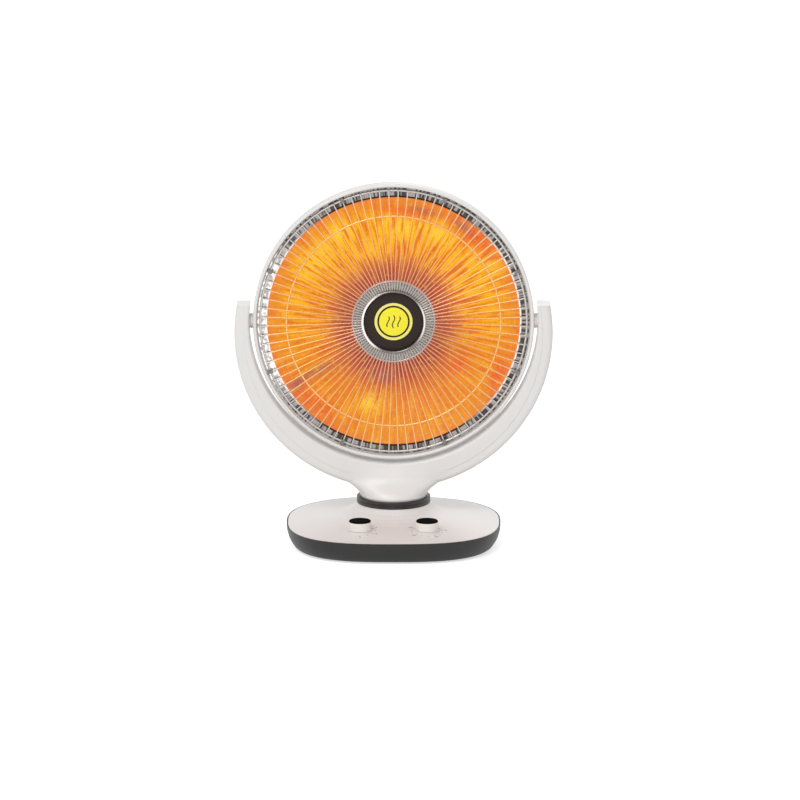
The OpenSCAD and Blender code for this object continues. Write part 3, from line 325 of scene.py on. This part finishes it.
screw_finish = bare_metal("screw_zinc", paint(198, 198, 196), 0.32, (1, 1, 0.2))
dress(screw_finish, "base_screws", "motor_screws", "spindle_screws")
dress(screw_finish, "yoke_screws", "bracket_screws")
iron_finish = bare_metal("ballast_iron", paint(92, 90, 88), 0.6, (1, 1, 1), 0.0025, 0.0002, 0.3)
dress(iron_finish, "ballast_weights")


# ---------------------------------------------------------------- Base cover
# A warm white lid that drops inside the pan's rim and rises to the collar under the neck.
# It is smooth and half glossy, as a lid that is wiped clean has to be.
cover_finish = moulded(
    "cover_warm_white", paint(229, 225, 223), 0.42, 0.0007, 0.000012, 0.025, coat=0.05
)
dress(cover_finish, "base_cover")


# ---------------------------------------------------------------- Drive, switches and terminals
# What works inside the base: a geared motor, a tip switch with its plunger, a power switch,
# a clockwork timer and a terminal block, all screwed to posts in the pan and the cover.
motor_finish = bare_metal("motor_steel", paint(176, 178, 180), 0.38, (1, 1, 0.1))
dress(motor_finish, "oscillation_motor", "power_shaft", "timer_shaft", "swivel_spindle")
switch_finish = moulded("switch_black", paint(30, 30, 32), 0.5, 0.0008, 0.00003, 0.15)
dress(switch_finish, "power_switch", "timer_unit")
terminal_finish = moulded("terminal_white", paint(236, 234, 226), 0.3, 0.0008, 0.00001, 0.03)
dress(terminal_finish, "terminal_block")
tip_finish = moulded("tip_switch_red", paint(176, 38, 32), 0.35, 0.0008, 0.00002, 0.08)
dress(tip_finish, "tip_switch")
acetal_finish = moulded("bearing_acetal", paint(238, 236, 228), 0.28, 0.0006, 0.00001, 0.03)
dress(acetal_finish, "swivel_bush", "thrust_washer", "tip_plunger", "drive_pinion", "swing_gear")
dress(acetal_finish, "gear_collar", "pivot_washers")


# ---------------------------------------------------------------- Neck ring
# A dark plastic ring that covers the gap where the neck turns on the base. It is moulded
# smoother than the pan, so it catches a little more light.
ring_finish = moulded("ring_black", paint(37, 30, 29), 0.38, 0.0007, 0.00002, 0.1)
dress(ring_finish, "neck_ring")


# ---------------------------------------------------------------- Dials
# Two knobs with smooth pale skirts, for the heat and for the timer. Their inlaid tops are
# black and quite dull, so that they show hardly any light from above.
knob_finish = moulded("knob_white", paint(240, 233, 226), 0.32, 0.0006, 0.00001, 0.03, coat=0.2)
dress(knob_finish, "power_knob", "timer_knob")
knob_cap_finish = moulded(
    "knob_cap_black", paint(4, 4, 4), 0.7, 0.0006, 0.00001, 0.1, specular=0.02
)
dress(knob_cap_finish, "power_knob_cap", "timer_knob_cap")


# ---------------------------------------------------------------- Dial scales
# Fine marks and plain numbers, printed on the cover round each dial: heat steps at the left
# one, minutes at the timer. The print is a thin skin that follows the cover's dome.
cover_skin = BVHTree.FromObject(
    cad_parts["base_cover"], bpy.context.evaluated_depsgraph_get()
)
print_t = 0.0001
print_sunk = 0.00003
mark_size = (0.0006, 0.0022, print_t)
mark_at = 0.0172
number_at = 0.0212
number_size = 0.0046
probe_height = 0.1
print_finish = moulded("scale_print", paint(112, 98, 88), 0.5, 0.0004, 0.000002, 0.15)


def print_scale(name, knob, marks, numbers):
    """Marks and numbers round a dial, at turns in degrees clockwise from straight back."""
    low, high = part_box(knob)
    centre = (low + high) / 2
    shape = bmesh.new()
    for turn in marks:
        bmesh.ops.create_cube(
            shape,
            size=1.0,
            matrix=Matrix.Translation((centre.x, centre.y, 0))
            @ Matrix.Rotation(-math.radians(turn), 4, "Z")
            @ Matrix.Translation((0, mark_at, 0))
            @ Matrix.Diagonal((*mark_size, 1)),
        )
    for turn, words in numbers.items():
        letters = bpy.data.curves.new(name, "FONT")
        letters.body = words
        letters.size = number_size
        letters.align_x = letters.align_y = "CENTER"
        letters.resolution_u = 3
        letters.extrude = print_t / 2
        holder = bpy.data.objects.new(name, letters)
        outline = bpy.data.meshes.new_from_object(holder)
        angle = math.radians(turn)
        outline.transform(
            Matrix.Translation(
                (centre.x + number_at * math.sin(angle), centre.y + number_at * math.cos(angle), 0)
            )
        )
        shape.from_mesh(outline)
        bpy.data.objects.remove(holder)
        bpy.data.curves.remove(letters)
        bpy.data.meshes.remove(outline)
    bmesh.ops.remove_doubles(shape, verts=shape.verts, dist=same_point)
    for corner in shape.verts:
        above = Vector((corner.co.x, corner.co.y, probe_height))
        dome = cover_skin.ray_cast(above, Vector((0, 0, -1)))[0].z
        corner.co.z += dome + print_t / 2 - print_sunk
    add_piece(name, shape, print_finish, "base")


heat_steps = {0: "0", 60: "1", 120: "2", 180: "3"}
minutes = {0: "0", 75: "15", 150: "30", 225: "45", 300: "60"}
print_scale("power_scale", "power_knob", range(0, 181, 30), heat_steps)
print_scale("timer_scale", "timer_knob", range(0, 301, 25), minutes)


# ---------------------------------------------------------------- Yoke
# Two moulded half shells, screwed together from behind along a seam round the middle. They
# carry the head at the arm tops and end in the neck that turns on the base. A thin skin on
# each side fills the crease between the neck and the crescent.
crease = math.radians(35)
shell_finish = moulded("shell_white", paint(229, 227, 225), 0.38, 0.0007, 0.000014, 0.02, 0.12)
dress(shell_finish, "yoke_front", "yoke_rear")
pin_finish = bare_metal("pin_steel", paint(190, 190, 190), 0.3)
dress(pin_finish, "pivot_pins")

ring_of_four = ((-1, 0), (1, 0), (0, -1), (0, 1))
fillet_cell = 0.002
fillet_columns, fillet_rows = 66, 22
fillet_above_ring = 0.004
fillet_rounds = 60
side_fade_end, side_fade_width = 31, 10
foot_fade_start, foot_fade_height = 4, 8
fillet_least = 0.00003
fillet_proud = 0.00001
fillet_hidden = 0.00004
fillet_depth = 0.0008
probe_distance = 0.2


def fillet_skin(name, node, side):
    """A soft fillet where the neck meets the crescent, in front (side -1) or behind (side 1)."""
    shell = BVHTree.FromObject(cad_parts[node], bpy.context.evaluated_depsgraph_get())
    low_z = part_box("neck_ring")[1].z + fillet_above_ring
    height = fillet_rows * fillet_cell
    shape = bmesh.new()
    bmesh.ops.create_grid(
        shape,
        x_segments=fillet_columns,
        y_segments=fillet_rows,
        size=0.5,
        matrix=Matrix.Translation((0, side * probe_distance, low_z + height / 2))
        @ Matrix.Rotation(math.pi / 2, 4, "X")
        @ Matrix.Diagonal((fillet_columns * fillet_cell, height, 1, 1)),
    )
    corners = {}
    bare = {}
    for corner in shape.verts:
        hit = shell.ray_cast(corner.co, Vector((0, -side, 0)))[0]
        if hit is not None:
            at = (round(corner.co.x / fillet_cell), round((corner.co.z - low_z) / fillet_cell))
            corners[at] = corner
            bare[at] = side * hit.y
    # The hollow is filled by rounds of averaging that never go below the shell.
    filled = dict(bare)
    inner = [at for at in bare if all((at[0] + i, at[1] + j) in bare for i, j in ring_of_four)]
    for _ in range(fillet_rounds):
        before = dict(filled)
        for i, j in inner:
            mean = sum(before[i + across, j + up] for across, up in ring_of_four) / 4
            filled[i, j] = max(bare[i, j], mean)
    # The fill fades out towards the sides and the foot.
    for i, j in inner:
        side_share = min(1, max(0, (side_fade_end - abs(i)) / side_fade_width))
        foot_share = min(1, max(0, (j - foot_fade_start) / foot_fade_height))
        share = side_share * foot_share
        filled[i, j] = bare[i, j] + (filled[i, j] - bare[i, j]) * share
    raised = set()
    for at, out in filled.items():
        if out - bare[at] > fillet_least:
            raised.add(corners[at])
            corners[at].co.y = side * (out + fillet_proud)
        else:
            corners[at].co.y = side * (out - fillet_hidden)
    # Only the cells that lie on the shell and have a raised corner stay.
    on_shell = set(corners.values())
    idle = [
        cell
        for cell in shape.faces
        if raised.isdisjoint(cell.verts) or not on_shell.issuperset(cell.verts)
    ]
    bmesh.ops.delete(shape, geom=idle, context="FACES")
    back = bmesh.ops.extrude_face_region(shape, geom=shape.faces[:])
    sunk = [part for part in back["geom"] if isinstance(part, bmesh.types.BMVert)]
    bmesh.ops.translate(shape, verts=sunk, vec=(0, -side * fillet_depth, 0))
    for face in shape.faces:
        face.smooth = True
    skin = add_piece(name, shape, shell_finish, "yoke")
    skin.data.set_sharp_from_angle(angle=crease)


fillet_skin("neck_fillet_front", "yoke_front", -1)
fillet_skin("neck_fillet_rear", "yoke_rear", 1)


# ---------------------------------------------------------------- Head housing
# A deep round shell in the same white plastic, with a rolled lip in front of the dish.
# The rear cover is vented, and screwed on from behind.
dress(shell_finish, "head_housing", "rear_cover")
dress(screw_finish, "rear_screws")


# ---------------------------------------------------------------- Reflector
# A spun aluminium dish, polished inside and on its flange. The coil's reflection is painted in it
# all over as a broken orange glow, yellower in the upper half and redder by the hub and the rim.
head_low, head_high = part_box("reflector")
head_centre = (head_low + head_high) / 2
dish_edge = 142.7
bead_edge = 144.4
glow_reach = 150
patch_rag = 1.6
mm = 0.001


def counted_from(centre, place):
    """A place, counted from this centre."""
    return place.node("ShaderNodeMapping", {}, {"Vector": place, "Location": [-c for c in centre]})


def part_of(vector, axis):
    """One axis of a place, in mm."""
    return vector.node("ShaderNodeSeparateXYZ", {}, {0: vector}, out="XYZ".index(axis)) / mm


def length_of(x, z):
    """How far a place lies from the head's axis."""
    square = x * x + z * z
    return square.math("SQRT", square)


dish_finish, dish_place = start_finish("dish_bright", {"Emission Strength": 1.0})
centred = counted_from((head_centre.x, head_low.y, head_centre.z), dish_place)
wobble = centred.noise(0.05, detail=2.0)
dish_x = part_of(centred, "X")
dish_z = part_of(centred, "Z")
from_axis = length_of(dish_x, dish_z)
# The painted reflection is laid out on slanted layers: it rises by this share of the depth.
glow_rise = 0.226
glow_z = dish_z + part_of(centred, "Y") * glow_rise
from_glow = length_of(dish_x, glow_z)


def glow_patch(x, z, half_width, half_height, lean):
    """A soft spot in the dish, 1 in its middle, placed in mm from the axis, leaned in degrees."""
    cosine = math.cos(math.radians(lean))
    sine = math.sin(math.radians(lean))
    along = ((dish_x - x) * cosine + (glow_z - z) * sine) / half_width
    square = ((glow_z - z) * cosine - (dish_x - x) * sine) / half_height
    fall = 0 - (along * along + square * square + (wobble - 0.5) * patch_rag)
    return fall.math("EXPONENT", fall)


def rays(turns, stretch, detail=2.0):
    """Noise drawn out along the dish's radii: turns sets how fine it is round the dish."""
    spoke = dish_x.node(
        "ShaderNodeCombineXYZ",
        {},
        {0: dish_x / from_glow * turns, 1: from_glow / stretch, 2: glow_z / from_glow * turns},
    )
    return spoke.node(
        "ShaderNodeTexNoise",
        {"noise_dimensions": "3D"},
        {"Vector": spoke, "Scale": 1.0, "Detail": detail},
    )


# Colours of the coil's painted reflection, and where each lies in the dish.
amber = paint(255, 184, 14)
yellow = paint(255, 206, 40)
red_orange = paint(228, 86, 38)
mauve = paint(146, 84, 92)
glow_share = from_glow / glow_reach
glow = glow_share.node(
    "ShaderNodeValToRGB",
    {
        "stops": [
            (0.31, paint(118, 52, 44)),
            (0.42, paint(166, 76, 54)),
            (0.51, paint(204, 97, 43)),
            (0.63, paint(226, 122, 25)),
            (0.80, paint(230, 134, 16)),
            (0.90, paint(231, 139, 27)),
            (0.97, paint(232, 122, 46)),
        ]
    },
    {0: glow_share},
)
streaks = rays(34, 26)
belt = from_glow.step(58, 88) * from_glow.step(137, 120)
amber_share = belt * (glow_z.step(-90, 60) * 0.8 + 0.1) * streaks.step(0.36, 0.6)
glow = amber_share.between(glow, amber)
for x, z, wide, high, lean in (
    (9, 110, 24, 12, 0), (52, 99, 18, 9, -28), (109, 69, 18, 13, -55),
    (-90, 69, 24, 13, 40), (-60, 103, 14, 12, 20), (-26, -96, 18, 12, 0),
):
    glow = (glow_patch(x, z, wide, high, lean) * streaks.step(0.3, 0.55)).between(glow, yellow)
for x, z, wide, high, lean in (
    (94, 94, 36, 13, -45), (-93, -88, 38, 15, -45), (74, -50, 12, 8, 30),
    (118, -60, 9, 20, -24), (20, 126, 34, 7, -8),
):
    glow = (glow_patch(x, z, wide, high, lean) * 0.8).between(glow, red_orange)
for x, z, wide, high, lean in (
    (36, 127, 16, 4, -14), (79, 109, 11, 5, -36), (-88, -58, 24, 6, 28),
    (-109, -73, 14, 6, 38), (-12, -62, 14, 9, 0),
):
    glow = (glow_patch(x, z, wide, high, lean) * 0.75).between(glow, mauve)
glow = (streaks.step(0.5, 0.72) * 0.3).between(glow, paint(255, 196, 72))
glow = (streaks.step(0.46, 0.28) * 0.42).between(glow, red_orange)
# The hammered dimples also break up the painted reflection.
hammer = centred.noise(0.0045, detail=3.0, roughness=0.65)
glow = (hammer.step(0.46, 0.3) * 0.3).between(glow, mauve)
glow = (hammer.step(0.56, 0.72) * 0.4).between(glow, yellow)

# Only the side that faces the mouth glows. part_of gives a direction in thousandths.
edge_on = 50
outward = dish_finish.node_tree.nodes.new("ShaderNodeTexCoord")
mouth_side = part_of(Field(outward.outputs["Normal"]), "Y").step(edge_on, -edge_on)
on_dish = from_axis.step(dish_edge + 0.2, dish_edge - 0.6) * mouth_side
on_bead = from_axis.step(bead_edge + 0.5, bead_edge - 0.2)
# The flange and its bead carry painted reflections: a bright, dappled band at the left side, dark
# and grey streaks elsewhere, and a bead painted pale at the sides and dark at the top and bottom.
painted_glint_side = dish_x.step(-100, -138) * dish_z.step(95, 60) * dish_z.step(-95, -60)
cells = rays(44, 40, 1.0)
painted_dark_reflection = cells.step(0.42, 0.58).between(paint(66, 62, 60), paint(150, 145, 142))
dapple = centred.noise(0.005, detail=3.0).step(0.4, 0.6)
bright = dapple.between(paint(160, 157, 154), paint(240, 238, 236))
sideways = dish_x / from_axis
lit_side = sideways.math("ABSOLUTE", sideways).step(0.5, 0.9)
bead_shade = lit_side.between(paint(58, 46, 42), paint(250, 246, 242))
flange_shade = on_bead.between(painted_glint_side.between(painted_dark_reflection, bright), bead_shade)
# The dish's own metal is darkened so the painted glow stands in for what it mirrors.
metal_darkened_under_glow = (0.05, 0.035, 0.03, 1)
no_glow = (0, 0, 0, 1)
feed(
    dish_finish,
    Base_Color=on_dish.between(flange_shade, metal_darkened_under_glow),
    Emission_Color=on_dish.between(no_glow, glow),
    Metallic=1 - on_dish * 0.4,
    Roughness=on_dish * 0.22 + (cells * 0.15 + 0.16),
    Normal=relief(hammer, 0.00012),
)
dress(dish_finish, "reflector")


# ---------------------------------------------------------------- Heating element
# A porcelain cone wound with resistance wire, in a lamp socket on a bracket behind the dish.
# The wire is at full heat, with hotter and cooler lengths along its turns.
porcelain_finish = moulded(
    "porcelain", paint(238, 232, 220), 0.22, 0.002, 0.00002, 0.05, coat=0.4
)
dress(porcelain_finish, "element_socket", "ceramic_core")
bracket_finish = bare_metal("bracket_steel", paint(170, 172, 174), 0.4)
dress(bracket_finish, "socket_bracket", "thermal_cutout")
coil_glow = 2.2
coil_finish, coil_place = start_finish(
    "coil_glowing", {"Roughness": 0.5, "Emission Strength": coil_glow}
)
heat = coil_place.noise(0.008, detail=2.0)
feed(
    coil_finish,
    Base_Color=heat.between(paint(120, 50, 20), paint(170, 80, 40)),
    Emission_Color=heat.between(paint(250, 90, 24), paint(255, 176, 60)),
)
dress(coil_finish, "heating_coil")
nut_finish = bare_metal("nut_brass", paint(206, 170, 98), 0.3)
dress(nut_finish, "element_nut")


# ---------------------------------------------------------------- Wire guard
# Eighty-eight chromed wires, spot welded to three rings and clipped to the housing's lip.
# Light from the glow behind them is painted into their colour, reddest by the hub.
wire_reach = 160
guard_finish, guard_place = start_finish("guard_chrome", {"Metallic": 0.45})
guard_centred = counted_from(head_centre, guard_place)
wire_radius = length_of(part_of(guard_centred, "X"), part_of(guard_centred, "Z"))
plating = guard_place.noise(0.003, detail=2.0)
wire_share = wire_radius / wire_reach
# Painted light: the wires are coloured by radius with the glow that falls on them.
wire_painted_glow = wire_share.node(
    "ShaderNodeValToRGB",
    {
        "stops": [
            (0.285, paint(188, 178, 172)),
            (0.31, paint(228, 150, 124)),
            (0.50, paint(236, 172, 116)),
            (0.72, paint(246, 190, 104)),
            (0.86, paint(240, 190, 140)),
            (0.91, paint(206, 202, 198)),
        ]
    },
    {0: wire_share},
)
feed(
    guard_finish,
    Base_Color=(plating * 0.12).between(wire_painted_glow, paint(120, 104, 96)),
    Roughness=plating * 0.14 + 0.2,
    Normal=relief(plating, 0.00001),
)
dress(guard_finish, "front_grille")
clip_finish = bare_metal("clip_steel", paint(122, 119, 117), 0.34, (1, 1, 1), 0.0012)
dress(clip_finish, "grille_clips")


# ---------------------------------------------------------------- Guard hub
# A grey pressed plate behind the wire ends, a bright turned ring with painted side highlights,
# a dark cap and a round badge.
# The badge is a disc and a paler ring with a groove between them, and wears three heat lines.
plate_finish, plate_place = start_finish("hub_plate_grey", {"Metallic": 0.7})
speck = plate_place.noise(0.0016, detail=2.0)
feed(
    plate_finish,
    Base_Color=speck.step(0.35, 0.65).between(paint(112, 106, 101), paint(170, 164, 158)),
    Roughness=speck * 0.2 + 0.3,
    Normal=relief(speck, 0.0002),
)
dress(plate_finish, "hub_plate")
bezel_finish, bezel_place = start_finish("hub_bezel_bright", {"Metallic": 0.6})
bezel_side = part_of(counted_from(head_centre, bezel_place), "X")
turning = bezel_place.noise(0.0015, detail=2.0)
# Painted highlights on the ring's left and right sides.
bezel_painted_highlight = (bezel_side.step(-12, -26) + bezel_side.step(24, 35) * 0.7).least(1.0)
feed(
    bezel_finish,
    Base_Color=bezel_painted_highlight.between(paint(128, 122, 118), paint(255, 250, 248)),
    Roughness=turning * 0.1 + 0.14,
    Normal=relief(turning, 0.000008),
)
dress(bezel_finish, "hub_bezel")
cap_finish = moulded("hub_brown", paint(44, 33, 28), 0.5, 0.0007, 0.00003, 0.1, specular=0.2)
dress(cap_finish, "hub_cap")
badge_finish = moulded("badge_yellow", paint(248, 236, 22), 0.35, 0.0006, 0.00001, 0.03, coat=0.2)
badge_ring_finish = moulded(
    "badge_ring_yellow", paint(242, 234, 118), 0.3, 0.0006, 0.00001, 0.03, coat=0.2
)

badge_low, badge_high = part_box("hub_badge")
badge_middle = (badge_low + badge_high) / 2
badge_r = (badge_high.x - badge_low.x) / 2
badge_t = badge_high.y - badge_low.y
turn_steps = 96


def turned(shape, profile):
    """Adds a form turned about the badge's middle, from radii and depths behind its face."""
    before = set(shape.verts)
    line = [shape.verts.new((r, badge_low.y + depth, 0)) for r, depth in profile]
    edges = [shape.edges.new(pair) for pair in zip(line, line[1:])]
    bmesh.ops.spin(
        shape,
        geom=line + edges,
        cent=(0, 0, 0),
        axis=(0, 1, 0),
        angle=2 * math.pi,
        steps=turn_steps,
        use_merge=True,
    )
    made = [corner for corner in shape.verts if corner not in before]
    bmesh.ops.translate(shape, verts=made, vec=(badge_middle.x, 0, badge_middle.z))


disc_r = 0.0163
groove = 0.002
turn_in = 0.0003
ring_in = disc_r + groove
badge_shape = bmesh.new()
turned(
    badge_shape,
    [(0, 0.00012), (disc_r / 2, 0.00015), (disc_r - 3 * turn_in, 0.00024), (disc_r, 0.0004),
     (disc_r, badge_t), (0, badge_t)],
)
pale_from = len(badge_shape.faces)
turned(
    badge_shape,
    [(ring_in, badge_t), (ring_in, turn_in), (ring_in + turn_in, 0), (badge_r - turn_in, 0),
     (badge_r, turn_in), (badge_r, badge_t), (ring_in, badge_t)],
)
badge_shape.faces.ensure_lookup_table()
for face in badge_shape.faces[pale_from:]:
    face.material_index = 1
bmesh.ops.remove_doubles(badge_shape, verts=badge_shape.verts, dist=same_point)
for face in badge_shape.faces:
    face.smooth = True
badge = add_piece("badge", badge_shape, badge_finish, "head")
badge.data.materials.append(badge_ring_finish)
badge.data.set_sharp_from_angle(angle=crease)
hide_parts("hub_badge")

wave_h = 0.015
outer_share = 0.8
wave_w = 0.0013
wave_pitch = 0.0062
wave_swing = 0.0014
wave_t = 0.0002
wave_seat = 0.00025
wave_steps = 24
waves = bmesh.new()
for column in (-1, 0, 1):
    strip = bmesh.ops.create_grid(
        waves,
        x_segments=1,
        y_segments=wave_steps,
        size=0.5,
        matrix=Matrix.Diagonal((wave_w, wave_h * (1 if column == 0 else outer_share), 1, 1)),
    )
    for corner in strip["verts"]:
        swing = wave_swing * math.sin(corner.co.y / wave_h * 2 * math.pi)
        corner.co.x += column * wave_pitch + swing
raised = bmesh.ops.extrude_face_region(waves, geom=waves.faces[:])
lifted = [part for part in raised["geom"] if isinstance(part, bmesh.types.BMVert)]
bmesh.ops.translate(waves, verts=lifted, vec=(0, 0, wave_t))
bmesh.ops.transform(
    waves,
    matrix=Matrix.Translation((badge_middle.x, badge_low.y + wave_seat, badge_middle.z))
    @ Matrix.Rotation(math.pi / 2, 4, "X"),
    verts=waves.verts,
)
wave_finish = moulded("badge_print", paint(46, 38, 30), 0.45, 0.0005, 0.000004, 0.1)
add_piece("badge_heat_lines", waves, wave_finish, "head")
